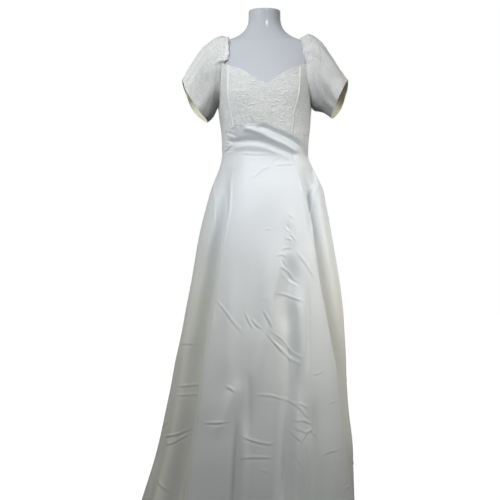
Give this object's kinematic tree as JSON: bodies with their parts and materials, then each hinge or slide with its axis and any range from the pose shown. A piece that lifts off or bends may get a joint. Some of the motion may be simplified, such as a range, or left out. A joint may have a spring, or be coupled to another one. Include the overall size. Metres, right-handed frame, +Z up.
{
  "type": "wedding dress on limbless dress form",
  "caption": "Floor-length satin wedding dress with a sweetheart lace-textured bodice, short puffed sleeves and an A-line skirt, on a dress form with a round stand.",
  "frame": {"origin": "on the floor, under the middle of the whole outline", "axes": "+Z up, the front of the dress faces -Y, +X to the viewer's right when the front is seen"},
  "size_m": [0.671, 0.5788, 1.54],
  "materials": {
    "satin": "ivory white duchess satin, smooth with a soft broad sheen",
    "lace_fabric": "ivory cloth with raised wavy corded relief, low sheen",
    "casing": "narrow satin strip and covered cord",
    "form_plastic": "smooth lavender grey gloss plastic",
    "stand_steel": "brushed steel",
    "zip_metal": "bright nickel plate"
  },
  "bodies": {
    "dress": {"form_torso": "form_plastic", "stand_pole": "stand_steel", "stand_base": "stand_steel", "bodice_front": "lace_fabric", "bodice_side_left": "lace_fabric", "bodice_side_right": "lace_fabric", "bodice_side_back_left": "lace_fabric", "bodice_side_back_right": "lace_fabric", "bodice_back_left": "lace_fabric", "bodice_back_right": "lace_fabric", "skirt_front": "satin", "skirt_side_left": "satin", "skirt_side_right": "satin", "skirt_side_back_left": "satin", "skirt_side_back_right": "satin", "skirt_back_left": "satin", "skirt_back_right": "satin", "casing_left": "casing", "casing_right": "casing", "sleeve_left": "lace_fabric", "sleeve_right": "lace_fabric", "piping_left": "casing", "piping_right": "casing", "zip_slider": "zip_metal"},
    "pull_tab": {"zip_pull": "zip_metal"}
  },
  "joints": [
    {"name": "pull_tab_swing", "type": "hinge", "parent": "dress", "child": "pull_tab", "pos_m": [0.05312, 0.07715, 1.339], "axis": [1, 0, 0], "range_deg": [-6, 150]}
  ]
}
